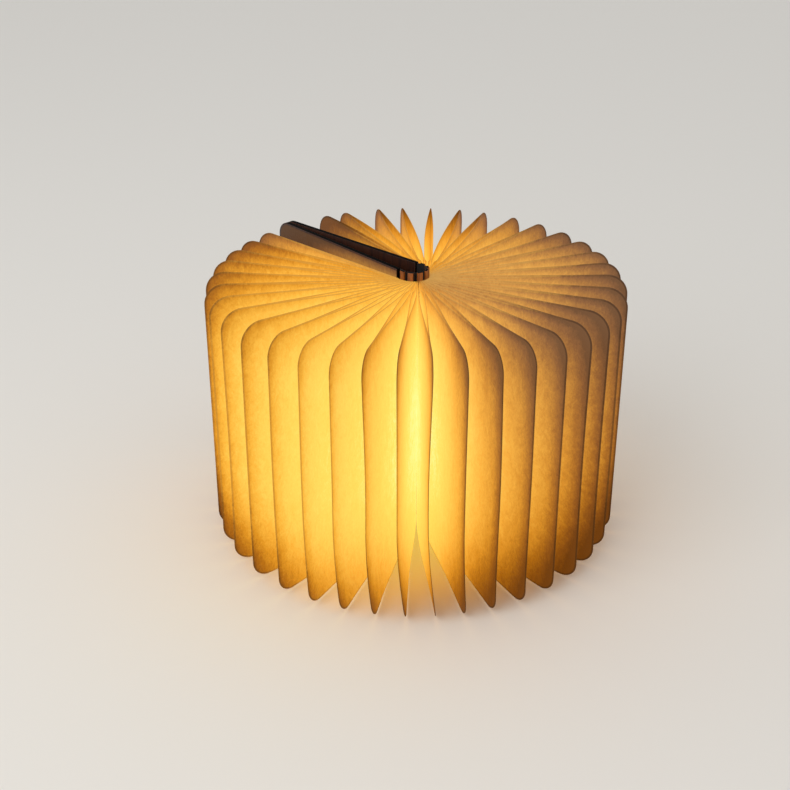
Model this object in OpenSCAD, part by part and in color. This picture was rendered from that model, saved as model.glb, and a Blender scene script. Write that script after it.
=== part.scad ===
// Folding book lamp, opened all the way round and standing on its covers.
// Origin: bottom centre of the opened lamp, at the surface it stands on. +Z up.
// +X runs from the spine towards the page in front; the covers lie back to back along -X.

/* [Covers] */
// Height of the covers and of the spine
book_h = 215; // [180:1:250]
// Length of a cover from its hinge edge to its free edge
cover_len = 150.5; // [140:0.5:175]
// Thickness of a cover board
cover_t = 3.6; // [3:0.1:4.5]
// Radius of the free corners of a cover
cover_corner_r = 12; // [4:1:20]
// Gap left between the covers where their free edges meet
cover_meet_gap = 0.3; // [0.2:0.05:1]
// Distance from the point where a cover leaves the spine roll to its hinge edge
cover_start = 6.1; // [5.5:0.1:8]

/* [Spine] */
// Outer radius of the rolled spine
spine_r = 11.9; // [11.5:0.1:13]
// Width of a spine slat
slat_w = 4.2; // [3.8:0.1:4.4]
// Thickness of a spine slat
slat_t = 2; // [1.6:0.1:2.2]
// Angle from one slat to the next round the roll
slat_step = 38.7; // [38:0.1:39.4]
// Thickness of the liner that joins the slats
liner_t = 0.3; // [0.2:0.05:0.5]
// Width of the liner strip behind a slat
liner_w = 6; // [5.6:0.1:6.1]
// How far the last liner strip runs on towards the cover
liner_tail = 2.5; // [1:0.1:2.8]

/* [Pages] */
// Width of a page from its fold to its outer edge
page_w = 151.8; // [130:0.2:165]
// Thickness of a page, two leaves glued together
page_t = 0.3; // [0.2:0.05:0.35]
// Gap between the spine roll and the folds
fold_gap = 0.5; // [0.4:0.05:0.9]
// Height of the page bottoms above the stand surface at the outer edge
page_lift = 1.2; // [1:0.1:6]
// Drop of the page tops below the cover tops at the outer edge
page_drop = 1.3; // [1:0.1:6]
// Taper of the page at the top, from the outer edge to the fold
taper_top = 5; // [0:0.5:8]
// Taper of the page at the bottom, from the outer edge to the fold
taper_bottom = 3; // [0:0.5:8]
// Radius of the top outer corner of a page
corner_top = 17; // [6:1:26]
// Radius of the bottom outer corner of a page
corner_bottom = 14; // [6:1:26]
// Angle between neighbouring pages before the fan is pushed about
page_step = 9.17; // [9:0.01:9.25]
// Share of a page's angle at which its fold sits on the roll
fold_share = 0.64; // [0.6:0.01:0.66]
// How much further out the folds next to the covers lie, since they rest on the boards
fold_out = 1.2; // [1:0.1:1.6]

/* [Light bar] */
// Radius of the light bar's round back
bar_r = 8; // [7.5:0.1:8.3]
// Distance of the centre of that round back from the roll axis
bar_x = 22.2; // [22:0.1:22.6]
// Distance of the flat front of the bar from the roll axis
bar_front = 24.5; // [24:0.1:24.8]
// Length of the bar
bar_len = 124; // [120:1:150]
// Height of the bar's lower end above the stand surface
bar_lift = 6; // [4:1:20]
// Wall of the bar's shell
bar_wall = 1.2; // [1:0.1:1.4]
// Thickness of the closed end wall at the bottom
bar_floor = 2; // [1.6:0.1:3]
// Thickness of the end cap at the top
cap_t = 2.4; // [1.6:0.1:3]
// Thickness of the rib that holds the bar between the two middle slats
rib_t = 0.5; // [0.4:0.05:0.55]
// Distance of the rib's tip from the liner side of the slats
rib_back = 0.7; // [0.6:0.05:1]
// Thickness of the diffuser
diffuser_t = 1.2; // [0.8:0.1:1.4]
// Depth of the cut-out in each page that clears the bar
notch_d = 13; // [12.5:0.1:16]
// Pages within this angle of the front have the cut-out, because the bar passes them as the lamp closes
notch_reach = 126; // [125:1:129]
// Clearance above the bar in that cut-out
notch_gap = 2; // [1:0.5:5]
// Clearance of the pieces that slide into the shell
slip = 0.15; // [0.1:0.05:0.25]

/* [Electronics] */
// Width of the LED strip
led_w = 8; // [7:0.1:9]
// Thickness of the LED strip's board
led_board_t = 0.8; // [0.6:0.1:1]
// Number of LEDs on the strip
led_count = 12; // [8:1:14]
// Side of one LED
led_size = 3; // [2:0.1:3.5]
// Height of one LED
led_h = 0.6; // [0.4:0.05:0.7]
// Thickness of the battery
cell_t = 3.4; // [3:0.1:3.5]
// Width of the battery
cell_w = 8.8; // [8:0.1:9]
// Length of the battery
cell_len = 78; // [60:1:82]
// Width of the charging board
board_w = 9.6; // [9.4:0.1:10]
// Thickness of the charging board
board_t = 1; // [0.8:0.1:1.2]
// Length of the charging board
board_len = 26; // [22:1:28]
// Width of the charging socket
socket_w = 8.9; // [8.8:0.1:9]
// Height of the charging socket
socket_h = 3.2; // [3.1:0.1:3.3]
// Depth of the charging socket
socket_len = 7.3; // [6.5:0.1:9]
// Wall of the charging socket's shell
socket_wall = 0.3; // [0.25:0.05:0.4]

/* [Magnets] */
// Diameter of a closing magnet
magnet_d = 8; // [6:0.5:10]
// Thickness of a closing magnet
magnet_t = 1.5; // [1:0.1:1.8]
// Distance of the magnets from the free edge of the cover
magnet_edge = 9; // [8:0.5:14]
// Distance of the end magnets from the top and the bottom of the cover
magnet_end = 30; // [24:1:60]
// Clearance round a magnet in its pocket
magnet_gap = 0.1; // [0.05:0.05:0.2]

/* [Hidden] */
$fn = 64;

page_n = 37;
// Half angle between the covers: they leave the roll as tangents and meet at their free edges
cover_half = asin((spine_r - cover_t - cover_meet_gap / 2) / (cover_start + cover_len));
// Where the roll's inner face lies, which is the liner side of the slats
slat_in = spine_r - slat_t;
fold_r = spine_r + fold_gap;
notch_top = bar_lift + bar_len + notch_gap;

// Height of the page edges at the fold
fold_low = page_lift + taper_bottom;
fold_high = book_h - page_drop - taper_top;
page_high = book_h - page_drop;
slope_top = atan(taper_top / page_w);
slope_bottom = atan(taper_bottom / page_w);

// Direction in which the outer edge of page k is seen from the roll axis. The spacing is even but
// for a turn of the whole fan and two soft waves, each a height, a place and a width in degrees:
// the pages bunch a little on the right of the fan and open out on its left.
fan_turn = -5.16;
waves = [[4.7, -80, 33], [6.8, 139, 79]];
function even(k) = (k - (page_n - 1) / 2) * page_step + fan_turn;
function wave(e, w) = w[0] * exp(-pow((e - w[1]) / w[2], 2));
function tip_angle(k) = let (e = even(k)) e + wave(e, waves[0]) + wave(e, waves[1]);
// The folds sit closer together round the roll than the outer edges do
function fold_angle(k) = tip_angle(k) * fold_share;
function fold_pt(k) = (fold_r + fold_out * pow(tip_angle(k) / 174, 4))
    * [cos(fold_angle(k)), sin(fold_angle(k))];
// Distance of the outer edge of page k from the axis, so that the page keeps its width
function along(k) = fold_pt(k) * [cos(tip_angle(k)), sin(tip_angle(k))];
function tip_r(k) = along(k) + sqrt(pow(along(k), 2) - (fold_pt(k) * fold_pt(k) - page_w * page_w));
function tip_pt(k) = tip_r(k) * [cos(tip_angle(k)), sin(tip_angle(k))];
function page_dir(k) = let (v = tip_pt(k) - fold_pt(k)) atan2(v[1], v[0]);

// Where the roll axis stands, so that the opened lamp is centred on the origin
tips = [for (k = [0 : page_n - 1]) tip_pt(k)];
cover_reach = (cover_start + cover_len) * cos(cover_half) + spine_r * sin(cover_half);
far_x = [min(min([for (p = tips) p[0]]), -cover_reach), max([for (p = tips) p[0]])];
far_y = [min([for (p = tips) p[1]]), max([for (p = tips) p[1]])];
module on_axis() {
    translate([-(far_x[0] + far_x[1]) / 2, -(far_y[0] + far_y[1]) / 2, 0]) children();
}

// ---------- covers ----------

// Outline of a cover: square at the hinge edge, rounded at the free corners
module cover_outline() {
    r = cover_corner_r;
    square([cover_len - r, book_h]);
    translate([0, r]) square([cover_len, book_h - 2 * r]);
    for (z = [r, book_h - r]) translate([cover_len - r, z]) circle(r);
}

// Centres of the magnets on a cover, measured from its hinge edge and its bottom
function magnet_at() = [for (z = [magnet_end, book_h / 2, book_h - magnet_end])
    [cover_len - magnet_edge, z]];

// Puts the hinge edge of the left cover where it leaves the roll. Local x runs along the cover,
// local y goes from the page side through the board.
module on_left_cover() {
    rotate([0, 0, 180 + cover_half]) translate([cover_start, -spine_r, 0]) children();
}

module cover_board() {
    difference() {
        mirror([0, 1, 0]) rotate([90, 0, 0]) linear_extrude(cover_t) cover_outline();
        for (p = magnet_at()) translate([p[0], -0.01, p[1]]) rotate([-90, 0, 0])
            cylinder(d = magnet_d + 2 * magnet_gap, h = magnet_t + 0.2 + 0.01);
    }
}

module magnets() {
    for (p = magnet_at()) translate([p[0], 0.2, p[1]]) rotate([-90, 0, 0])
        cylinder(d = magnet_d, h = magnet_t);
}

module cover_left() { color("#5a3418") on_left_cover() cover_board(); }
module cover_right() { color("#5a3418") mirror([0, 1, 0]) on_left_cover() cover_board(); }
module magnets_left() { color("#b8bcc0") on_left_cover() magnets(); }
module magnets_right() { color("#b8bcc0") mirror([0, 1, 0]) on_left_cover() magnets(); }

// ---------- spine ----------

// Slat number j, counted from the middle of the spine; side is 1 for left and -1 for right
module slat(side, j) {
    color("#8a5222") rotate([0, 0, side * (j - 0.5) * slat_step])
        translate([slat_in, -slat_w / 2, 0]) cube([slat_t, slat_w, book_h]);
}

// Liner strip behind slat j. The last one runs on towards the cover.
module liner(side, j) {
    tail = j == 3 ? liner_tail - (liner_w - slat_w) / 2 : 0;
    low = side > 0 ? 0 : tail;
    color("#1c1614") rotate([0, 0, side * (j - 0.5) * slat_step])
        translate([slat_in - liner_t, -liner_w / 2 - low, 0]) cube([liner_t, liner_w + tail, book_h]);
}

// ---------- pages ----------

// Points of an arc about c, from angle a0 to a1
function arc(c, r, a0, a1, n = 8) = [for (i = [0 : n])
    let (a = a0 + (a1 - a0) * i / n) c + r * [cos(a), sin(a)]];

// One page seen from its side: x from the fold to the outer edge, y up. Where the light bar
// passes, the lower part of the fold edge is cut back to clear it.
module page_outline(cut_out) {
    ct = [page_w - corner_top,
        page_high - taper_top * corner_top / page_w - corner_top / cos(slope_top)];
    cb = [page_w - corner_bottom,
        page_lift + taper_bottom * corner_bottom / page_w + corner_bottom / cos(slope_bottom)];
    polygon(concat(
        [[0, fold_high]],
        cut_out ? [[0, notch_top], [notch_d, notch_top],
            [notch_d, fold_low - taper_bottom * notch_d / page_w]] : [[0, fold_low]],
        arc(cb, corner_bottom, -90 - slope_bottom, 0),
        arc(ct, corner_top, 0, 90 + slope_top)));
}

module page(k) {
    color("#f2d9a0") translate([fold_pt(k)[0], fold_pt(k)[1], 0]) rotate([0, 0, page_dir(k)])
        translate([0, page_t / 2, 0]) rotate([90, 0, 0]) linear_extrude(page_t)
            page_outline(abs(tip_angle(k)) < notch_reach);
}

// ---------- light bar ----------

// Section of the bar: a round back cut off by the flat front
module bar_section(r, front) {
    intersection() {
        translate([bar_x, 0]) circle(r);
        translate([bar_x - 20, -20]) square([front - bar_x + 20, 40]);
    }
}

// Half width that the shell leaves inside at distance x from the roll axis
function inner_half(x) = sqrt(pow(bar_r - bar_wall, 2) - pow(x - bar_x, 2));

bar_top = bar_lift + bar_len;
led_x = bar_front - diffuser_t - 1 - led_h - led_board_t;
led_z = bar_lift + socket_len + 1.2;
cell_x = led_x - 0.25 - cell_t;
socket_x = bar_front - diffuser_t - slip - socket_h / 2;
board_x = socket_x - socket_h / 2 - board_t;

module socket_section(w, h) {
    r = h / 2 - 0.01;
    for (s = [-1, 1]) translate([0, s * (w / 2 - r)]) circle(r);
    square([2 * r, w - 2 * r], center = true);
}

module bar_housing() {
    color("#17181a") difference() {
        union() {
            translate([0, 0, bar_lift]) linear_extrude(bar_len - cap_t) bar_section(bar_r, bar_front);
            // rib into the gap between the two middle slats
            translate([slat_in + rib_back, -rib_t / 2, bar_lift])
                cube([bar_x - bar_r - slat_in - rib_back + bar_wall / 2, rib_t, bar_len - cap_t]);
        }
        translate([0, 0, bar_lift + bar_floor]) linear_extrude(bar_len)
            bar_section(bar_r - bar_wall, bar_front + 1);
        translate([socket_x, 0, bar_lift - 1]) linear_extrude(bar_floor + 2)
            socket_section(socket_w + 2 * slip, socket_h + 2 * slip);
    }
}

module bar_diffuser() {
    w = 2 * (inner_half(bar_front) - slip);
    color("#f4efe2") translate([bar_front - diffuser_t, -w / 2, bar_lift + bar_floor])
        cube([diffuser_t, w, bar_len - bar_floor - cap_t]);
}

module bar_cap() {
    color("#202124") translate([0, 0, bar_top - cap_t]) linear_extrude(cap_t)
        bar_section(bar_r, bar_front);
}

module led_strip() {
    z0 = led_z;
    l = bar_top - cap_t - 1 - z0;
    color("#f5f5f0") {
        translate([led_x, -led_w / 2, z0]) cube([led_board_t, led_w, l]);
        for (i = [0 : led_count - 1])
            translate([led_x, -led_size / 2, z0 + (i + 0.5) * l / led_count - led_size / 2])
                cube([led_board_t + led_h, led_size, led_size]);
    }
}

module battery() {
    color("#3c6fa8") translate([cell_x, -cell_w / 2, bar_top - cap_t - 2 - cell_len])
        cube([cell_t, cell_w, cell_len]);
}

module charge_board() {
    color("#1f5a36") {
        translate([board_x, -board_w / 2, bar_lift + bar_floor + 0.3]) cube([board_t, board_w, board_len]);
        translate([board_x - 0.89, -2.2, bar_lift + bar_floor + 14]) cube([0.9, 4.4, 4.4]);
    }
}

module usb_socket() {
    color("#c9ccd0") translate([socket_x, 0, bar_lift + 0.2]) difference() {
        linear_extrude(socket_len) socket_section(socket_w, socket_h);
        translate([0, 0, -1]) linear_extrude(socket_len)
            socket_section(socket_w - 2 * socket_wall, socket_h - 2 * socket_wall);
    }
}

on_axis() bar_housing();
on_axis() bar_diffuser();
on_axis() bar_cap();
on_axis() led_strip();
on_axis() battery();
on_axis() charge_board();
on_axis() usb_socket();
on_axis() cover_left();
on_axis() cover_right();
on_axis() magnets_left();
on_axis() magnets_right();
on_axis() slat(1, 1);  // slat_left_1
on_axis() slat(1, 2);  // slat_left_2
on_axis() slat(1, 3);  // slat_left_3
on_axis() slat(-1, 1);  // slat_right_1
on_axis() slat(-1, 2);  // slat_right_2
on_axis() slat(-1, 3);  // slat_right_3
on_axis() liner(1, 1);  // liner_left_1
on_axis() liner(1, 2);  // liner_left_2
on_axis() liner(1, 3);  // liner_left_3
on_axis() liner(-1, 1);  // liner_right_1
on_axis() liner(-1, 2);  // liner_right_2
on_axis() liner(-1, 3);  // liner_right_3
on_axis() page(0);  // page_01
on_axis() page(1);  // page_02
on_axis() page(2);  // page_03
on_axis() page(3);  // page_04
on_axis() page(4);  // page_05
on_axis() page(5);  // page_06
on_axis() page(6);  // page_07
on_axis() page(7);  // page_08
on_axis() page(8);  // page_09
on_axis() page(9);  // page_10
on_axis() page(10);  // page_11
on_axis() page(11);  // page_12
on_axis() page(12);  // page_13
on_axis() page(13);  // page_14
on_axis() page(14);  // page_15
on_axis() page(15);  // page_16
on_axis() page(16);  // page_17
on_axis() page(17);  // page_18
on_axis() page(18);  // page_19
on_axis() page(19);  // page_20
on_axis() page(20);  // page_21
on_axis() page(21);  // page_22
on_axis() page(22);  // page_23
on_axis() page(23);  // page_24
on_axis() page(24);  // page_25
on_axis() page(25);  // page_26
on_axis() page(26);  // page_27
on_axis() page(27);  // page_28
on_axis() page(28);  // page_29
on_axis() page(29);  // page_30
on_axis() page(30);  // page_31
on_axis() page(31);  // page_32
on_axis() page(32);  // page_33
on_axis() page(33);  // page_34
on_axis() page(34);  // page_35
on_axis() page(35);  // page_36
on_axis() page(36);  // page_37
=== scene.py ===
# %% [markdown]
# # A folding book lamp
# The lamp is a book of white spun-fibre pages between two walnut covers. Opened all the way
# round, its covers meet back to back, the slatted spine rolls up into a small tube, and the
# pages spread into a full circle that glows. This lesson dresses the fixed model of the lamp
# with real page pleats, wood, cloth and light.

# %% Load the fixed model
import math
import bmesh
import bpy
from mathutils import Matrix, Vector


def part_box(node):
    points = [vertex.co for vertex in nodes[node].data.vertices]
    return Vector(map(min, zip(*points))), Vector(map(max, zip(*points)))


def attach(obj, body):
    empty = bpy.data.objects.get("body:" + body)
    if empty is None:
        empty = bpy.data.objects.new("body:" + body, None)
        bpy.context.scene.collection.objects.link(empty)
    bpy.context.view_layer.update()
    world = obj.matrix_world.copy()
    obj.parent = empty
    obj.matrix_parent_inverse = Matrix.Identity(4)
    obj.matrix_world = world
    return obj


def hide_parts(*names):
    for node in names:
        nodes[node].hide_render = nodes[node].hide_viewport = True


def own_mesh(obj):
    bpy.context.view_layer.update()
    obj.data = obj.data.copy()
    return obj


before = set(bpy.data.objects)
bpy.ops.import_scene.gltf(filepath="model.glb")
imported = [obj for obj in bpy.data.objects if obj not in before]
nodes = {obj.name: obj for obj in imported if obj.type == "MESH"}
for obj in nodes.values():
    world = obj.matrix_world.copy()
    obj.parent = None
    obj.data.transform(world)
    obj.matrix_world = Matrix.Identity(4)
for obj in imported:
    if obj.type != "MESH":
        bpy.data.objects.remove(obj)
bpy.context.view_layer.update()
MM = 0.001

# %% [markdown]
# ## Small helpers
# Every operator works on what is selected, so each step starts with nothing selected. Colours
# are written the way a paint chart gives them (sRGB hex) and turned into the linear numbers
# that shaders add up. One function adds a shader node with its settings and its links.


# %% Helpers
def clean_selection():
    """Leaves edit mode and selects nothing."""
    if bpy.context.object and bpy.context.object.mode != "OBJECT":
        bpy.ops.object.mode_set(mode="OBJECT")
    bpy.ops.object.select_all(action="DESELECT")


def only(obj):
    """Selects one object and makes it the active one."""
    clean_selection()
    obj.select_set(True)
    bpy.context.view_layer.objects.active = obj
    return obj


def linear(hex_code):
    """Turns an sRGB hex code into linear red, green, blue and alpha."""
    parts = [int(hex_code[i:i + 2], 16) / 255 for i in (1, 3, 5)]
    return tuple(p / 12.92 if p <= 0.04045 else ((p + 0.055) / 1.055) ** 2.4
                 for p in parts) + (1.0,)


def new_material(name):
    """Makes a material. Gives it back with its node tree and its main shader."""
    mat = bpy.data.materials.new(name)
    mat.use_nodes = True
    return mat, mat.node_tree, mat.node_tree.nodes["Principled BSDF"]


def add_node(tree, kind, links=(), inputs=None, **settings):
    """Adds one node. links are (input name or number, output socket) pairs."""
    node = tree.nodes.new(kind)
    for key, value in settings.items():
        setattr(node, key, value)
    for key, value in (inputs or {}).items():
        node.inputs[key].default_value = value
    for key, socket in links:
        tree.links.new(socket, node.inputs[key])
    return node


def ramp_stops(node, stops):
    """Sets a ramp's stops. A stop's colour is a hex code, or a number for a grey."""
    ramp = node.color_ramp
    while len(ramp.elements) < len(stops):
        ramp.elements.new(0.5)
    for element, (place, colour) in zip(ramp.elements, stops):
        element.position = place
        element.color = linear(colour) if isinstance(colour, str) else (colour,) * 3 + (1,)
    return node


# %% [markdown]
# ## The camera
# A book on a table is seen from a chair: about a metre away and a little over half a metre up.
# The lamp stands with one seam of its pages turned to the left, so the camera looks at it from
# between its front and its right side.

# %% Camera
bar_low, bar_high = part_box("bar_housing")
# the roll's axis lies this far behind the bar's flat front, in metres
BAR_FRONT = 0.0245
AXIS = Vector((bar_high[0] - BAR_FRONT, (bar_low[1] + bar_high[1]) / 2, 0))
# from the axis, in metres and degrees; CAM_SIDE is between the lamp's front and its right side
CAM_DIST, CAM_UP, CAM_SIDE = 0.9503, 0.5859, -45
CAM_PITCH, CAM_TURN = 26.81, 0.87
# focal length and width of the sensor, in mm
CAM_LENS, CAM_SENSOR = 60.4, 36
cam_data = bpy.data.cameras.new("lamp_camera")
cam_data.lens = CAM_LENS
cam_data.sensor_width = CAM_SENSOR
camera = bpy.data.objects.new("lamp_camera", cam_data)
bpy.context.collection.objects.link(camera)
cam_way = math.radians(CAM_SIDE)
level = (CAM_DIST * math.cos(cam_way), CAM_DIST * math.sin(cam_way))
camera.location = AXIS + Vector((*level, CAM_UP))
camera.rotation_euler = (math.radians(90 - CAM_PITCH), 0, math.radians(90 + CAM_SIDE + CAM_TURN))
bpy.context.scene.camera = camera
print("camera at", [round(c, 3) for c in camera.location])

# %% [markdown]
# ## Where the pages stand
# The fan is not quite even: by hand, the pages bunch a little on one side and open out on the
# other. These are the same rules that placed the solids, so each new page lands on its own
# solid. Angles are in degrees, lengths in millimetres.

# %% Page places
PAGES, PAGE_STEP, FAN_TURN = 37, 9.17, -5.16
# where the pages bunch or open out: by how much, around which angle, over what width
WAVES = ((4.7, -80, 33), (6.8, 139, 79))
PAGE_W, BOOK_H = 151.8, 215.0
# the folds lie on a ring that opens a little towards its ends, closer together than the edges
FOLD_R, FOLD_OUT, FOLD_SHARE, LAST_TIP = 12.4, 1.2, 0.64, 174
# at its outer edge a leaf ends LIFT above the table and DROP below the book's full height, and
# the tapers make it less high at the fold
LIFT, DROP, TAPER_TOP, TAPER_BOTTOM = 1.2, 1.3, 5.0, 3.0
CORNER_TOP, CORNER_BOTTOM = 17.0, 14.0
# the cut-out for the light bar: how deep and how high
NOTCH_D, NOTCH_TOP = 13.0, 132.0


def tip_angle(k):
    """The direction in which page k's outer edge stands."""
    even = (k - (PAGES - 1) / 2) * PAGE_STEP + FAN_TURN
    return even + sum(height * math.exp(-((even - middle) / width) ** 2)
                      for height, middle, width in WAVES)


def fold_point(k):
    """Page k's fold at the spine, in mm from the roll's axis."""
    t = tip_angle(k)
    a, r = math.radians(t * FOLD_SHARE), FOLD_R + FOLD_OUT * (t / LAST_TIP) ** 4
    return Vector((r * math.cos(a), r * math.sin(a), 0))


def tip_point(k):
    """The outer edge, PAGE_W from the fold, on the line from the axis at the tip angle."""
    fold, t = fold_point(k), math.radians(tip_angle(k))
    out = Vector((math.cos(t), math.sin(t), 0))
    along = fold.dot(out)
    return out * (along + math.sqrt(along * along - (fold.dot(fold) - PAGE_W * PAGE_W)))


def page_direction(k):
    """The level direction from page k's fold to its outer edge."""
    return (tip_point(k) - fold_point(k)).normalized()


print("page 1 to 37 fan from", round(tip_angle(0), 1), "to", round(tip_angle(PAGES - 1), 1))

# %% [markdown]
# ## The page material: spun fibre sheet
# The pages are spun polyethylene fibre, pressed into a sheet as thin as card. Close up it shows
# swirls of fibre and soft creases, and light passes through it. The light comes from the spine,
# so a page is brightest deep in the fan and fades towards its outer edge. That fade is painted
# on each page from its own measurements: how far out, and how high, a point lies.


# %% Where a page loses its light
# Each pair is a place on the page and the light lost there; 1 is all that is ever lost. Places
# run outwards from the fold (0) to the glued edge (1), or upwards from the foot to the top.
OUTWARD = ((0.0, 0.02), (0.4, 0.06), (0.55, 0.16), (0.68, 0.3), (0.8, 0.46), (0.9, 0.55),
           (0.96, 0.64), (1.0, 0.72))
UPWARD = ((0.58, 0.0), (0.78, 0.09), (0.9, 0.2), (0.968, 0.27), (0.985, 0.35))
TOP_OF_FACE, TOP_OF_RIM = 0.45, 0.2
DOWNWARD = ((0.0, 0.48), (0.06, 0.38), (0.13, 0.24), (0.24, 0.08), (0.36, 0.0))
# close to the glued edge every page is dimmer, also one with the light behind it
SIDE_EDGE = ((0.84, 0.0), (0.92, 0.06), (0.97, 0.16), (1.0, 0.28))
TOP_EDGE = ((0.84, 0.0), (0.92, 0.07), (0.97, 0.16), (1.0, 0.26))
# a name for each ramp, what it reads and its stops; then each sum or product of two of them
RAMPS = (("outward", "out", OUTWARD), ("upward", "up", UPWARD), ("downward", "up", DOWNWARD),
         ("side_edge", "out", SIDE_EDGE), ("top_edge", "up", TOP_EDGE))
# the foot is dark only at its outer end, where it is far from the light bar
SUMS = (("face", "outward", "upward", "ADD"), ("page", "face", "shade", "MULTIPLY"),
        ("foot", "downward", "out", "MULTIPLY"), ("edges", "side_edge", "top_edge", "ADD"),
        ("outline", "foot", "edges", "ADD"), ("lost", "page", "outline", "ADD"))


def light_lost(tree, out, up, shade, top):
    """Adds up what a point loses. out and up are its place, shade is its whole page's, and top
    is the loss at the very top."""
    found = {"out": out, "up": up, "shade": shade}
    for name, reads, stops in RAMPS:
        if name == "upward":
            stops += ((1.0, top),)
        ramp = add_node(tree, "ShaderNodeValToRGB", [(0, found[reads])])
        found[name] = ramp_stops(ramp, stops).outputs[0]
    for name, first, second, operation in SUMS:
        total = add_node(tree, "ShaderNodeMath", [(0, found[first]), (1, found[second])],
                         operation=operation)
        found[name] = total.outputs[0]
    return found["lost"]


print("ramps of lost light:", [name for name, reads, stops in RAMPS])

# %% [markdown]
# ## The sheet's colours
# These colours are painted light. Light that passes through much fibre loses its blue first, so
# a bright place is pale yellow, a dimmer one golden and the dimmest brown. Where room light falls
# on the sheet as well, the brown turns greyer. The rim is painted darker still, as painted shade:
# its two thicknesses and its line of glue let less light through.


# %% Colours and patterns of the sheet
# the look by light lost: golden on a page lit from inside, greyed where room light reaches it
GOLDEN = ((0.0, "#fff8b0"), (0.04, "#fdee88"), (0.1, "#fde573"), (0.25, "#fdd862"),
          (0.4, "#fac046"), (0.55, "#e29e26"), (0.7, "#b97610"), (0.85, "#93560a"),
          (1.0, "#764206"))
GREYED = ((0.0, "#fff8c0"), (0.04, "#fdef9e"), (0.1, "#fde78c"), (0.25, "#fcd676"),
          (0.4, "#f2bf60"), (0.55, "#d9a354"), (0.7, "#b5834a"), (0.85, "#936843"),
          (1.0, "#76553a"))
# the glued rim is painted darker: painted shade for the light that its two thicknesses and its glue
# hold back
RIM_GOLDEN = ((0.0, "#ecbc55"), (0.3, "#e2ac47"), (0.55, "#cf9330"), (0.75, "#8a5813"),
              (1.0, "#5a3408"))
RIM_GREYED = ((0.0, "#eac476"), (0.3, "#dcb062"), (0.55, "#c1914a"), (0.75, "#7f5b38"),
              (1.0, "#5a3f2a"))
# patterns per metre: swirls about 9 mm across and fibres about 1.4 mm across, drawn out upwards.
# Real fibres are far finer; these are as coarse as they need to be to show.
SWIRLS, FIBRES = (110, 110, 70), (700, 700, 420)
# how much darker or lighter the swirls make the sheet, and how deep they are pressed, in metres
MOTTLE, PRESSED = 0.07, 0.0007
# the sheet sends back half of the light that falls on it and lets the rest through
SENT_BACK = (0.5, 0.5, 0.5, 1)
# how strongly it glows, as a page and glued on a board that stops the light; the glow is painted
# light, also on the board
PAGE_GLOW, BOARD_GLOW = 0.58, 0.15
print("stops of the golden colours:", len(GOLDEN), "and on the rim:", len(RIM_GOLDEN))


# %% Make the sheet's materials
def spun_fibre(name, rim=False, glow=PAGE_GLOW):
    """Pressed fibre sheet: matt and softly mottled, with a painted glow that fades outwards, and
    painted shade.
    """
    mat, tree, shader = new_material(name)
    place = add_node(tree, "ShaderNodeTexCoord")
    page = add_node(tree, "ShaderNodeAttribute", attribute_name="page_uvw")
    parts = add_node(tree, "ShaderNodeSeparateXYZ", [(0, page.outputs["Vector"])])
    shade = add_node(tree, "ShaderNodeAttribute", attribute_name="page_shade")
    swirl_at = add_node(tree, "ShaderNodeMapping", [(0, place.outputs["Object"])],
                        {"Scale": SWIRLS})
    swirl = add_node(tree, "ShaderNodeTexNoise", [(0, swirl_at.outputs[0])],
                     {"Scale": 1.0, "Detail": 6.0, "Roughness": 0.62, "Distortion": 1.6})
    fibre_at = add_node(tree, "ShaderNodeMapping", [(0, place.outputs["Object"])],
                        {"Scale": FIBRES})
    fibre = add_node(tree, "ShaderNodeTexNoise", [(0, fibre_at.outputs[0])],
                     {"Scale": 1.0, "Detail": 3.0, "Roughness": 0.6, "Distortion": 0.8})
    cloudy = add_node(tree, "ShaderNodeMath", [(0, swirl.outputs[0]), (1, fibre.outputs[0])],
                      operation="ADD")
    mottle = add_node(tree, "ShaderNodeMapRange", [(0, cloudy.outputs[0])],
                      {"From Min": 0.7, "From Max": 1.3, "To Min": MOTTLE, "To Max": -MOTTLE})
    lost = light_lost(tree, parts.outputs[0], parts.outputs[1], shade.outputs["Fac"],
                      TOP_OF_RIM if rim else TOP_OF_FACE)
    total = add_node(tree, "ShaderNodeMath", [(0, lost), (1, mottle.outputs[0])], operation="ADD")
    looks = (RIM_GOLDEN, RIM_GREYED) if rim else (GOLDEN, GREYED)
    ends = [ramp_stops(add_node(tree, "ShaderNodeValToRGB", [(0, total.outputs[0])]), stops)
            for stops in looks]
    colour = add_node(tree, "ShaderNodeMix",
                      [("Factor", parts.outputs[2]), (6, ends[0].outputs[0]),
                       (7, ends[1].outputs[0])], data_type="RGBA")
    # the base colour is the same painted glow and painted shade, at the share the sheet sends back
    reflected = add_node(tree, "ShaderNodeMix", [(6, colour.outputs[2])],
                         {"Factor": 1.0, 7: SENT_BACK}, data_type="RGBA", blend_type="MULTIPLY")
    tree.links.new(reflected.outputs[2], shader.inputs["Base Color"])
    tree.links.new(colour.outputs[2], shader.inputs["Emission Color"])
    shader.inputs["Emission Strength"].default_value = glow
    shader.inputs["Roughness"].default_value = 0.62
    shader.inputs["Specular IOR Level"].default_value = 0.2
    bump = add_node(tree, "ShaderNodeBump", [("Height", cloudy.outputs[0])],
                    {"Strength": 0.5, "Distance": PRESSED})
    tree.links.new(bump.outputs[0], shader.inputs["Normal"])
    return mat


page_sheet = spun_fibre("spun_fibre_sheet")
page_rim = spun_fibre("spun_fibre_glued_rim", rim=True)
cover_sheet = spun_fibre("spun_fibre_on_board", glow=BOARD_GLOW)
print("page materials:", page_sheet.name, page_rim.name, cover_sheet.name)

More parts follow.
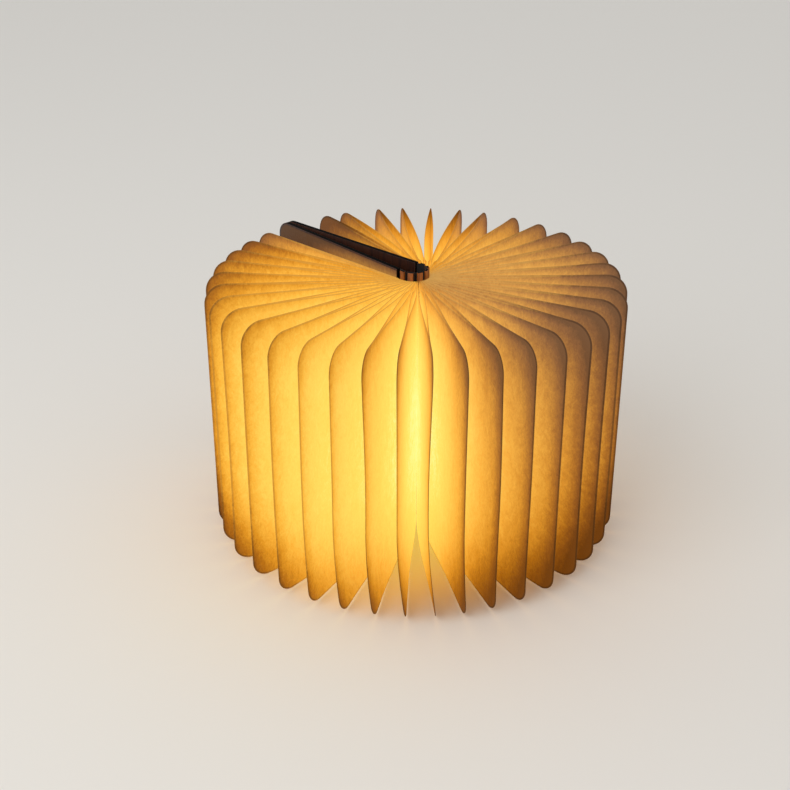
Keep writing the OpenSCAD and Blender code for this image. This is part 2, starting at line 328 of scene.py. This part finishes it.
# %% [markdown]
# ## One leaf
# Every page is two leaves, glued together along their outer edge. One leaf is cut like a real
# one: a plane, with its top and bottom edges running in a little towards the fold, its two
# outer corners rounded by a vertex bevel, and a narrow glued rim marked by an inset. Bisect
# then cuts it into strips so it can bend.


# %% The leaf's outline
# width of the glued rim, and the share of it that is gone at the spine end of top and foot
RIM, RIM_NARROWS = 1.4, 0.65
# a bent leaf bulges sideways, so its cut-out for the light bar is a little deeper than the solid's
LEAF_NOTCH = NOTCH_D + 2.5
CORNER_SEGMENTS = 10
# where the leaf is cut so that it can bend: closest where it bends most
CUTS_X = (4, 8.5, LEAF_NOTCH, 18, 21, 25, 29, 34, 39, 45, 51, 58, 66, 75, 85, 96, 108, 120, 131,
          140, 146)
CUTS_Z = (14, 22, 34, 52, 72, 92, 112, NOTCH_TOP, 140, 154, 168, 180, 190, 198, 203, 206.5)
# points this close, in mm, count as the same place
NEAR = 0.05


def edge_low(x):
    """The height of a leaf's lower edge at x mm from its fold."""
    return LIFT + TAPER_BOTTOM * (1 - x / PAGE_W)


def edge_high(x):
    """The height of a leaf's upper edge."""
    return BOOK_H - DROP - TAPER_TOP * (1 - x / PAGE_W)


def bisect_grid(xs, zs):
    """Cuts the mesh in edit mode along upright lines at xs and level lines at zs, in mm."""
    for x in xs:
        bpy.ops.mesh.select_all(action="SELECT")
        bpy.ops.mesh.bisect(plane_co=(x * MM, 0, 0), plane_no=(1, 0, 0))
    for z in zs:
        bpy.ops.mesh.select_all(action="SELECT")
        bpy.ops.mesh.bisect(plane_co=(0, 0, z * MM), plane_no=(0, 0, 1))


def flat_leaf(name):
    """A plane drawn out to the leaf's outline, with round outer corners and an inset rim."""
    clean_selection()
    bpy.ops.mesh.primitive_plane_add(size=1, location=(0, 0, 0))
    leaf = bpy.context.object
    leaf.name = name
    for v in leaf.data.vertices:
        x = PAGE_W if v.co.x > 0 else 0
        z = edge_high(x) if v.co.y > 0 else edge_low(x)
        v.co = Vector((x * MM, 0, z * MM))
    bpy.ops.object.mode_set(mode="EDIT")
    for radius, end in ((CORNER_TOP, edge_high(PAGE_W)), (CORNER_BOTTOM, edge_low(PAGE_W))):
        bm = bmesh.from_edit_mesh(leaf.data)
        for v in bm.verts:
            x, z = v.co.x / MM, v.co.z / MM
            v.select_set(x > PAGE_W - NEAR and abs(z - end) < NEAR)
        bm.select_flush_mode()
        bmesh.update_edit_mesh(leaf.data)
        bpy.ops.mesh.bevel(offset=radius * MM, segments=CORNER_SEGMENTS, affect="VERTICES")
    bpy.ops.mesh.select_all(action="SELECT")
    bpy.ops.mesh.inset(thickness=RIM * MM)
    bisect_grid(CUTS_X, CUTS_Z)
    bpy.ops.object.mode_set(mode="OBJECT")
    return leaf


print("a leaf is", PAGE_W, "mm wide and", round(edge_high(0) - edge_low(0), 1),
      "mm high at the fold,", round(edge_high(PAGE_W) - edge_low(PAGE_W), 1), "mm outside")


# %% Mark the rim and make the cut-out
def on_rim(c):
    """Whether a point of the flat leaf, in mm, lies on the glued rim. The fold has none."""
    if c.x < RIM + 0.2:
        return False
    for radius, corner_z, way in ((CORNER_TOP, edge_high(PAGE_W) - CORNER_TOP, 1),
                                  (CORNER_BOTTOM, edge_low(PAGE_W) + CORNER_BOTTOM, -1)):
        corner_x = PAGE_W - radius
        past = c.x > corner_x and (c.z - corner_z) * way > 0
        if past and math.hypot(c.x - corner_x, c.z - corner_z) > radius - RIM:
            return True
    return not (c.x < PAGE_W - RIM and edge_low(c.x) + RIM < c.z < edge_high(c.x) - RIM)


def cut_leaf(name, cut_out):
    """One flat leaf with its rim marked, with or without the cut-out for the light bar."""
    leaf = flat_leaf(name)
    bm = bmesh.new()
    bm.from_mesh(leaf.data)
    gone = []
    for f in bm.faces:
        c = f.calc_center_median() / MM
        f.material_index = 1 if on_rim(c) else 0
        if cut_out and c.x < LEAF_NOTCH and c.z < NOTCH_TOP:
            gone.append(f)
    # the glue line narrows towards the spine
    for v in bm.verts:
        x, z = v.co.x / MM, v.co.z / MM
        narrower = RIM_NARROWS * RIM * (1 - x / PAGE_W)
        if abs(z - (edge_high(x) - RIM)) < NEAR:
            v.co.z += narrower * MM
        elif abs(z - (edge_low(x) + RIM)) < NEAR:
            v.co.z -= narrower * MM
    bmesh.ops.delete(bm, geom=gone, context="FACES")
    bm.to_mesh(leaf.data)
    bm.free()
    leaf.data.materials.append(page_sheet)
    leaf.data.materials.append(page_rim)
    return leaf


plain_leaf = cut_leaf("plain_leaf", cut_out=False)
notched_leaf = cut_leaf("notched_leaf", cut_out=True)
print("faces of the plain leaf:", len(plain_leaf.data.polygons),
      "and of the notched one:", len(notched_leaf.data.polygons))

# %% [markdown]
# ## The pleats
# Neighbouring pages share a fold at the spine. From that fold each leaf curves in until it lies
# against its partner, which gives the soft V-shaped valleys between the pages. Each page gets
# two bent copies of the pattern, a slow wave of its own, and a thickness from Solidify. When
# the lamp closes, the pages flatten into the book block.


# %% How a leaf bends
# Where a sine takes a page's number, it makes neighbours differ, the same way every time.
# a leaf's thickness in mm, as all lengths here
LEAF_T = 0.13
# between the two leaves of a page where they lie together, and to the next page's leaf
LEAF_GAP, PAGE_GAP = 0.02, 0.1
# what the first and last page have in place of a neighbour: half a gap at the fold and outside
NO_NEIGHBOUR = (0.3, 1.2)
# leaves of neighbouring pages lie together from the fold up to here, and some up to further out
TOGETHER_TOP, TOGETHER_FOOT, TOGETHER_MORE = 10.0, 14.0, 7.0
# the two leaves of one page lie together from here on, give or take CLOSED_MORE
CLOSED_AT, CLOSED_MORE = 112.0, 16.0
# pages at the back of the fan have more room, and stay open this much further out
ROOMY_MORE, ROOMY_FROM, ROOMY_TO = 28.0, 85, 120
# at its top the fold is creased together, so the spine shows between the leaves
CREASE_H, CREASE_W, CREASED = 8.0, 24.0, 0.3
# each page has a slow sway, and a bow over its height
SWAY, BOW = 0.675, 0.72
# the feet of the front pages drag on the table, and lean to the right by up to this much
FOOT_LEAN, LEAN_FROM, LEAN_MIDDLE, LEAN_WIDTH = 7.0, 0.34, -53, 23
# a few pages at the back don't stand straight: how far the top of each leans, in mm
TOP_LEAN = {35: 5.0, 34: -3.5, 30: 4.0}
# pages nearer the front than this are cut out for the light bar
BAR_ANGLE = 36.0


def ease(value, start, end):
    """0 before start, 1 after end, and smooth between."""
    way = min(1.0, max(0.0, (value - start) / (end - start)))
    return way * way * (3 - 2 * way)


def page_across(k):
    """The level direction square to page k."""
    u = page_direction(k)
    return Vector((-u.y, u.x, 0))


def neighbour_gap(k, side):
    """Half the way to the next page at the fold and at the outer edge."""
    n = k + side
    if not 0 <= n < PAGES:
        return NO_NEIGHBOUR
    across = page_across(k)
    return [abs((point(n) - point(k)).dot(across)) / 2 for point in (fold_point, tip_point)]


def room(k):
    """1 for the pages with more room, 0 for the others, and smooth between."""
    return ease(tip_angle(k), ROOMY_FROM, ROOMY_TO)


print("half the way to the next page at the middle of the fan, fold and outside:",
      [round(gap, 2) for gap in neighbour_gap(PAGES // 2, 1)])


# %% How much painted shade and painted grey a page gets
# painted shade: every page starts from PLAIN_SHADE, give or take UNEVEN; each row adds its
# first number, little by little, between its two angles of the fan
PLAIN_SHADE, UNEVEN = 0.3, 0.05
SHADE_ROWS = ((0.45, -66, -34), (0.16, -40, -8), (-0.2, 2, 60), (-0.06, 60, 110), (0.4, 159, 166))
# on the lamp's right side more painted shade is added, up to the cover whose shadow falls there
SHADE_BY_RIGHT_COVER, RIGHT_FROM, RIGHT_TO = 0.32, 80, 160
# painted grey, for room light on the sheet: grey beside the covers, and over how many degrees;
# grey on the fan's other pages, and where it comes in and goes out again
GREY_BY_COVER, COVER_REACH = 0.85, 12
LEAST_GREY, GREY_BY_SIDE, SIDE_STARTS, SIDE_ENDS = 0.12, 0.85, (-62, 0), (70, 125)


def page_shade(k):
    """How much of the painted shade by place a page shows: from 0.2 to 1.0."""
    t = tip_angle(k)
    rows = sum(amount * ease(t, start, end) for amount, start, end in SHADE_ROWS)
    by_right_cover = SHADE_BY_RIGHT_COVER * ease(-t, RIGHT_FROM, RIGHT_TO)
    return PLAIN_SHADE + rows + by_right_cover + UNEVEN * math.sin(1.7 * k)


def page_grey(k, up):
    """How greyed a page is painted at height up (0 foot, 1 top), for room light: 0 is not at all, 1
    is fully.
    """
    t = tip_angle(k)
    by_cover = GREY_BY_COVER * math.exp(-((180 - abs(t)) / COVER_REACH) ** 2)
    by_side = LEAST_GREY + GREY_BY_SIDE * (ease(t, *SIDE_STARTS) - ease(t, *SIDE_ENDS))
    return min(1.0, max(by_cover, by_side * max(0.0, up) ** 1.3))


print("shade of every fourth page:", [round(page_shade(k), 2) for k in range(0, PAGES, 4)])


# %% Bend one leaf
def bend_leaf(k, side):
    """A copy of the pattern, bent as the leaf of page k on one side (-1 or 1)."""
    pattern = notched_leaf if abs(tip_angle(k)) < BAR_ANGLE else plain_leaf
    leaf = pattern.copy()
    leaf.data = pattern.data.copy()
    bpy.context.collection.objects.link(leaf)
    u, across, origin = page_direction(k), page_across(k), fold_point(k)
    at_fold, at_tip = neighbour_gap(k, side)
    sway = SWAY * math.sin(2.1 * k + 0.6)
    bow = BOW * math.sin(1.3 * k + 2.0)
    lean = FOOT_LEAN * math.exp(-((tip_angle(k) - LEAN_MIDDLE) / LEAN_WIDTH) ** 2)
    roomy = room(k)
    closed_at = CLOSED_AT + CLOSED_MORE * math.sin(2.7 * k + 1) * (1 - roomy) + ROOMY_MORE * roomy
    # both leaves of a valley get the same start; the valleys nearest the camera stay even
    valley = k + (side > 0)
    aside = ease(abs(tip_angle(k) - CAM_SIDE), 10, 30)
    together_top = TOGETHER_TOP + TOGETHER_MORE * (1 + math.sin(2.3 * valley)) * aside
    where = leaf.data.attributes.new("page_uvw", "FLOAT_VECTOR", "POINT")
    for i, v in enumerate(leaf.data.vertices):
        x, z = v.co.x / MM, v.co.z / MM
        out, up = x / PAGE_W, (z - edge_low(x)) / (edge_high(x) - edge_low(x))
        where.data[i].vector = (out, up, page_grey(k, up))
        half = at_fold + (at_tip - at_fold) * out - LEAF_T
        start = TOGETHER_FOOT + (together_top - TOGETHER_FOOT) * up
        way = min(1.0, max(0.0, (x - start) / (closed_at - start)))
        spread = 1 - math.sin(way * math.pi / 2) * (1 - roomy) - way * roomy
        crease = min(1.0, max(0.0, (edge_high(x) - z) / CREASE_H)) if x < CREASE_W else 1.0
        spread *= CREASED + (1 - CREASED) * crease
        y = side * (LEAF_T / 2 + LEAF_GAP + max(0.0, half - PAGE_GAP) * spread)
        y += out ** 1.6 * (sway * math.sin(math.pi * up * 1.1) + bow * math.cos(math.pi * up * 2))
        y += TOP_LEAN.get(k, 0) * out ** 2.4 * max(0.0, up)
        y += lean * out ** 1.5 * (max(0.0, LEAN_FROM - up) / LEAN_FROM) ** 1.6
        v.co = (origin + u * x + across * y) * MM + AXIS + Vector((0, 0, v.co.z))
    return leaf


def stiffen(obj, thickness):
    """Gives a thin sheet its thickness, half on each side."""
    thick = obj.modifiers.new("sheet", "SOLIDIFY")
    thick.thickness = thickness * MM
    thick.offset = 0
    bpy.ops.object.modifier_apply(modifier="sheet")


def set_shade(obj, value):
    """Stores one shade for the whole piece, where the page material reads it."""
    shade = obj.data.attributes.new("page_shade", "FLOAT", "POINT")
    shade.data.foreach_set("value", [value] * len(obj.data.vertices))


# %% Join the leaves into pages
# a page is shaded smooth, except where its faces meet at more degrees than this
PAGE_SMOOTH = 35
for k in range(PAGES):
    name = f"page_{k + 1:02d}"
    pair = [bend_leaf(k, side) for side in (-1, 1)]
    clean_selection()
    for leaf in pair:
        leaf.select_set(True)
    bpy.context.view_layer.objects.active = pair[0]
    bpy.ops.object.join()
    page = bpy.context.object
    page.name = name + "_leaves"
    page.data.name = page.name
    stiffen(page, LEAF_T)
    set_shade(page, page_shade(k))
    only(page)
    bpy.ops.object.shade_smooth_by_angle(angle=math.radians(PAGE_SMOOTH))
    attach(page, name)
    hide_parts(name)
    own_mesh(page)
for pattern in (plain_leaf, notched_leaf):
    bpy.data.objects.remove(pattern)
print("pages:", PAGES, "; faces on the last:", len(page.data.polygons))

# %% [markdown]
# ## Walnut and black edges
# The covers are thin boards faced with walnut veneer, and the slats are solid walnut. Their sawn
# edges are painted black. Wood is known by its streaks, so one noise is stretched along the
# grain for the rings, and a finer one for the pores. The wood is the same for both, but the
# slats get a lighter, warmer copy that glows: painted light from the pages falling on them.


# %% Walnut veneer
# patterns per metre. The grain is upright: rings about 3 mm apart, stretched twelve times along
# it, and pores about 0.4 mm wide, which dent the veneer by a fraction of a millimetre.
RINGS, PORES, PORE_DEPTH = (340, 340, 28), (2600, 2600, 120), 0.0003


def walnut(name, light, dark, glow=0.0):
    """Straight-grained, oiled walnut: streaks of two browns, dark pores and a low sheen. A glow is
    painted light.
    """
    mat, tree, shader = new_material(name)
    place = add_node(tree, "ShaderNodeTexCoord")
    rings_at = add_node(tree, "ShaderNodeMapping", [(0, place.outputs["Object"])], {"Scale": RINGS})
    rings = add_node(tree, "ShaderNodeTexNoise", [(0, rings_at.outputs[0])],
                     {"Scale": 1.0, "Detail": 5.0, "Roughness": 0.55, "Distortion": 0.6})
    pores_at = add_node(tree, "ShaderNodeMapping", [(0, place.outputs["Object"])], {"Scale": PORES})
    pores = add_node(tree, "ShaderNodeTexNoise", [(0, pores_at.outputs[0])],
                     {"Scale": 1.0, "Detail": 2.0})
    streaks = ramp_stops(add_node(tree, "ShaderNodeValToRGB", [(0, rings.outputs[0])]),
                         [(0.3, dark), (0.5, light), (0.58, dark), (0.72, light)])
    dots = ramp_stops(add_node(tree, "ShaderNodeValToRGB", [(0, pores.outputs[0])]),
                      [(0.36, 0.45), (0.46, 1.0)])
    wood = add_node(tree, "ShaderNodeMix", [(6, streaks.outputs[0]), (7, dots.outputs[0])],
                    {"Factor": 0.7}, data_type="RGBA", blend_type="MULTIPLY")
    tree.links.new(wood.outputs[2], shader.inputs["Base Color"])
    shader.inputs["Roughness"].default_value = 0.46
    bump = add_node(tree, "ShaderNodeBump", [("Height", pores.outputs[0])],
                    {"Strength": 0.3, "Distance": PORE_DEPTH})
    tree.links.new(bump.outputs[0], shader.inputs["Normal"])
    if glow:
        tree.links.new(wood.outputs[2], shader.inputs["Emission Color"])
        shader.inputs["Emission Strength"].default_value = glow
    return mat


cover_walnut = walnut("walnut_veneer_cover", "#43200e", "#27100a")
# painted light: the slats' walnut is lighter and warmer than the covers' and glows, for the pages'
# light falling on them
slat_walnut = walnut("walnut_slat", "#8c4b0c", "#572806", glow=0.3)
print("woods:", cover_walnut.name, slat_walnut.name)

# %% Black painted edges
# matt black paint on a sawn edge: almost no shine, and a fine grit from the wood under it,
# about 1 mm from bump to bump
GRIT, GRIT_DEPTH = 900.0, 0.0002
black_paint, tree, shader = new_material("black_painted_edge")
shader.inputs["Roughness"].default_value = 0.7
shader.inputs["Specular IOR Level"].default_value = 0.03
place = add_node(tree, "ShaderNodeTexCoord")
grit = add_node(tree, "ShaderNodeTexNoise", [(0, place.outputs["Object"])],
                {"Scale": GRIT, "Detail": 3.0})
worn = ramp_stops(add_node(tree, "ShaderNodeValToRGB", [(0, grit.outputs[0])]),
                  [(0.45, "#040302"), (0.8, "#0c0805")])
tree.links.new(worn.outputs[0], shader.inputs["Base Color"])
bump = add_node(tree, "ShaderNodeBump", [("Height", grit.outputs[0])],
                {"Strength": 0.2, "Distance": GRIT_DEPTH})
tree.links.new(bump.outputs[0], shader.inputs["Normal"])
print("paint:", black_paint.name)

# %% [markdown]
# ## Soft edges on the boards
# Sanded wood has no knife edges. The boards already have the right shape, so a copy of each is
# used. It is made of loose triangles: these are merged, flat faces are put together, and a
# bevel rounds the sharp edges. Then each face gets wood or paint by the way it points.


# %% Soften the boards
# how much sanding takes off a cover's and a slat's edges, in mm
COVER_SANDED, SLAT_SANDED = 0.4, 0.3
# corners closer than this, in metres, are merged, and faces within FLAT degrees are joined
MERGED, FLAT = 0.00001, 1
# edges sharper than SHARP degrees are rounded, and those flatter than SMOOTH are shaded smooth
SHARP, SMOOTH = 40, 30


def softened_copy(node, name, bevel_mm):
    """A merged copy of a node's solid with its sharp edges rounded over."""
    obj = nodes[node].copy()
    obj.data = nodes[node].data.copy()
    obj.name = name
    obj.data.name = name
    bpy.context.collection.objects.link(obj)
    only(obj)
    bpy.ops.object.mode_set(mode="EDIT")
    bpy.ops.mesh.select_all(action="SELECT")
    bpy.ops.mesh.remove_doubles(threshold=MERGED)
    bpy.ops.mesh.dissolve_limited(angle_limit=math.radians(FLAT))
    bpy.ops.object.mode_set(mode="OBJECT")
    soft = obj.modifiers.new("soft", "BEVEL")
    soft.width = bevel_mm * MM
    soft.segments = 2
    soft.limit_method = "ANGLE"
    soft.angle_limit = math.radians(SHARP)
    bpy.ops.object.modifier_apply(modifier="soft")
    bpy.ops.object.shade_smooth_by_angle(angle=math.radians(SMOOTH))
    return obj


def wood_and_paint(obj, wood, painted):
    """Gives every face the wood, except where painted(normal) is true."""
    obj.data.materials.clear()
    obj.data.materials.append(wood)
    obj.data.materials.append(black_paint)
    for face in obj.data.polygons:
        face.material_index = 1 if painted(face.normal) else 0


# %% Dress the covers and the slats
# A cover is wood on its two faces, which look along y, and painted all round its edge. A slat
# is painted only on its top and bottom ends.
for side in ("left", "right"):
    board = softened_copy(f"cover_{side}", f"cover_{side}_board", COVER_SANDED)
    wood_and_paint(board, cover_walnut, lambda normal: abs(normal.y) <= 0.9)
    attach(board, f"cover_{side}")
    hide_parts(f"cover_{side}")
    for j in (1, 2, 3):
        slat = softened_copy(f"slat_{side}_{j}", f"slat_{side}_{j}_wood", SLAT_SANDED)
        wood_and_paint(slat, slat_walnut, lambda normal: abs(normal.z) > 0.5)
        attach(slat, f"spine_{side}_{j}")
        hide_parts(f"slat_{side}_{j}")
print("faces on a cover:", len(board.data.polygons), "and on a slat:", len(slat.data.polygons))

# %% [markdown]
# ## Endpapers
# A sheet of the page material is glued to the inner face of each cover, as an endpaper is in a
# bound book. It hides the magnets set into the board. It is cut from a plane, its outer corners
# are rounded with a vertex bevel like the cover's, and it stands a hair proud of the wood.


# %% Cut an endpaper
# where a cover starts from the roll's axis, its length, how far its page side lies from the
# axis, and the degrees between it and the plane where the two covers meet
COVER_START, COVER_LEN, SPINE_R, HALF_COVER = 6.1, 150.5, 11.9, 2.9832
# thickness, foot and top, how far it keeps from the board's ends, corner, and how proud it is
PAPER_T, PAPER_Z, PAPER_MARGINS, PAPER_CORNER, PROUD = 0.13, (1.5, 213.5), (0.5, 2.0), 11, 0.02
PAPER_CUTS_X, PAPER_CUTS_Z = (20, 40, 60, 80, 100, 120, 140), (14, 50, 90, 130, 170, 201)
# beside a cover little light arrives: fully grey, and a darker shade than any page's
PAPER_GREY, PAPER_SHADE = 1.0, 1.4


def endpaper(sign):
    """The sheet on the left (sign 1) or right (sign -1) cover."""
    clean_selection()
    bpy.ops.mesh.primitive_plane_add(size=1, location=(0, 0, 0))
    sheet = bpy.context.object
    cover_end = COVER_START + COVER_LEN
    ends = (COVER_START + PAPER_MARGINS[0], cover_end - PAPER_MARGINS[1])
    for v in sheet.data.vertices:
        v.co = Vector((ends[v.co.x > 0] * MM, 0, PAPER_Z[v.co.y > 0] * MM))
    bpy.ops.object.mode_set(mode="EDIT")
    bm = bmesh.from_edit_mesh(sheet.data)
    for v in bm.verts:
        v.select_set(v.co.x > (ends[1] - NEAR) * MM)
    bm.select_flush_mode()
    bmesh.update_edit_mesh(sheet.data)
    bpy.ops.mesh.bevel(offset=PAPER_CORNER * MM, segments=CORNER_SEGMENTS, affect="VERTICES")
    bisect_grid(PAPER_CUTS_X, PAPER_CUTS_Z)
    bpy.ops.object.mode_set(mode="OBJECT")
    angle = math.radians(180 + HALF_COVER)
    out = Vector((math.cos(angle), math.sin(angle), 0))
    off = Vector((-out.y, out.x, 0))
    where = sheet.data.attributes.new("page_uvw", "FLOAT_VECTOR", "POINT")
    for i, v in enumerate(sheet.data.vertices):
        x, z = v.co.x / MM, v.co.z / MM
        where.data[i].vector = (x / cover_end, z / BOOK_H, PAPER_GREY)
        # the page side of the board; the other cover is its mirror image
        at = out * x + off * (-SPINE_R - PROUD - PAPER_T / 2)
        v.co = Vector((at.x, at.y * sign, 0)) * MM + AXIS + Vector((0, 0, v.co.z))
    only(sheet)
    stiffen(sheet, PAPER_T)
    bpy.ops.object.mode_set(mode="EDIT")
    bpy.ops.mesh.select_all(action="SELECT")
    bpy.ops.mesh.normals_make_consistent(inside=False)
    bpy.ops.object.mode_set(mode="OBJECT")
    set_shade(sheet, PAPER_SHADE)
    sheet.data.materials.append(cover_sheet)
    return sheet


# %% Glue the endpapers
for side, sign in (("left", 1), ("right", -1)):
    paper = endpaper(sign)
    paper.name = f"endpaper_{side}"
    paper.data.name = paper.name
    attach(paper, f"cover_{side}")

# %% [markdown]
# ## Cloth liner, light bar and small parts
# These already have their true shapes. They only need finishes: a black book cloth, a moulded
# black shell, a milky diffuser that glows, and the plain looks of a battery and its board.


# %% A plain, slightly uneven finish
# every surface is a little uneven: its colour varies between these shares of the plain one, and
# its bumps are up to GRAIN_DEPTH high, in metres
DARKER, LIGHTER, GRAIN_DEPTH = 0.82, 1.15, 0.0003


def simple_finish(name, base, rough, metal=0.0, grain=0.0, scale=1200.0, emit=None, strength=0.0):
    """A plain finish, slightly uneven. scale is bumps per metre; grain is how much they show."""
    mat, tree, shader = new_material(name)
    place = add_node(tree, "ShaderNodeTexCoord")
    noise = add_node(tree, "ShaderNodeTexNoise", [(0, place.outputs["Object"])],
                     {"Scale": scale, "Detail": 3.0})
    tones = [tuple(min(1, c * share) for c in linear(base)[:3]) + (1,)
             for share in (DARKER, LIGHTER)]
    tint = add_node(tree, "ShaderNodeMix", [("Factor", noise.outputs[0])],
                    {6: tones[0], 7: tones[1]}, data_type="RGBA")
    tree.links.new(tint.outputs[2], shader.inputs["Base Color"])
    shader.inputs["Roughness"].default_value = rough
    shader.inputs["Metallic"].default_value = metal
    if grain:
        bump = add_node(tree, "ShaderNodeBump", [("Height", noise.outputs[0])],
                        {"Strength": grain, "Distance": GRAIN_DEPTH})
        tree.links.new(bump.outputs[0], shader.inputs["Normal"])
    if emit:
        shader.inputs["Emission Color"].default_value = linear(emit)
        shader.inputs["Emission Strength"].default_value = strength
    return mat


# %% Finishes for the small parts
finishes = {
    # woven cotton stiffened with paste: no shine, and threads about 0.7 mm apart
    "liner": simple_finish("black_book_cloth", "#15100d", 0.85, grain=0.6, scale=1500),
    # moulded against an etched tool: a fine satin texture
    "shell": simple_finish("moulded_abs_black", "#141416", 0.42, grain=0.25),
    # cast sheet with white filler: smooth, and lit evenly from behind
    "diffuser": simple_finish("milky_acrylic", "#f4ead2", 0.35, emit="#ffdf8a", strength=1.0),
    # printed lacquer on the lit strip and on the charging board: smooth and slightly glossy
    "led": simple_finish("white_solder_mask", "#eeeade", 0.4, emit="#fff0b8", strength=0.4),
    "board": simple_finish("green_solder_mask", "#14502c", 0.35, grain=0.2),
    # thin film shrunk tight round the cell: glossy
    "battery": simple_finish("pvc_shrink_wrap", "#2f5f96", 0.3),
    # rolled sheet with a bright tin coat, and plated magnets: mirror-like with a soft blur
    "steel": simple_finish("tinned_steel", "#c3c5c8", 0.28, metal=1.0),
    "magnet": simple_finish("nickel_plate", "#c9c8c2", 0.22, metal=1.0),
}
wear = {"bar_housing": "shell", "bar_cap": "shell", "bar_diffuser": "diffuser", "led_strip": "led",
        "battery": "battery", "charge_board": "board", "usb_socket": "steel",
        "magnets_left": "magnet", "magnets_right": "magnet"}
wear.update({f"liner_{s}_{j}": "liner" for s in ("left", "right") for j in (1, 2, 3)})
for node, finish in wear.items():
    nodes[node].data.materials.clear()
    nodes[node].data.materials.append(finishes[finish])
print("finished nodes:", len(wear))

# %% [markdown]
# ## Table and studio light
# A plain pale table keeps attention on the lamp. A dim, even sky and one large soft lamp are
# enough, because the pages' painted glow adds light of its own.

# %% Table
# metres across, so its edges are far away
TABLE_SIZE = 12
clean_selection()
bpy.ops.mesh.primitive_plane_add(size=TABLE_SIZE, location=(0, 0, 0))
table = bpy.context.object
table.name = "table"
pale, tree, shader = new_material("pale_table")
shader.inputs["Base Color"].default_value = linear("#e9e6e0")
shader.inputs["Roughness"].default_value = 0.8
table.data.materials.append(pale)

# %% Light
# where 1 is white
SKY_STRENGTH = 0.7
# watts, metres across, where it hangs, and the point it shines at
LAMP_POWER, LAMP_SIZE, LAMP_AT, LAMP_AIM = 16, 1.6, (0.1, -1.7, 1.5), (0, 0, 0.1)
world = bpy.data.worlds.new("studio")
bpy.context.scene.world = world
world.use_nodes = True
sky = world.node_tree.nodes["Background"]
sky.inputs["Color"].default_value = (1, 1, 1, 1)
sky.inputs["Strength"].default_value = SKY_STRENGTH

soft = bpy.data.lights.new("soft_lamp", "AREA")
soft.energy = LAMP_POWER
soft.size = LAMP_SIZE
soft_lamp = bpy.data.objects.new("soft_lamp", soft)
bpy.context.collection.objects.link(soft_lamp)
soft_lamp.location = LAMP_AT
aim = Vector(LAMP_AIM) - soft_lamp.location
soft_lamp.rotation_euler = aim.to_track_quat("-Z", "Y").to_euler()
bpy.context.scene.view_settings.view_transform = "Standard"
print("lamp at", LAMP_AT, "with", LAMP_POWER, "W; sky at", SKY_STRENGTH)

# %% Finish
clean_selection()
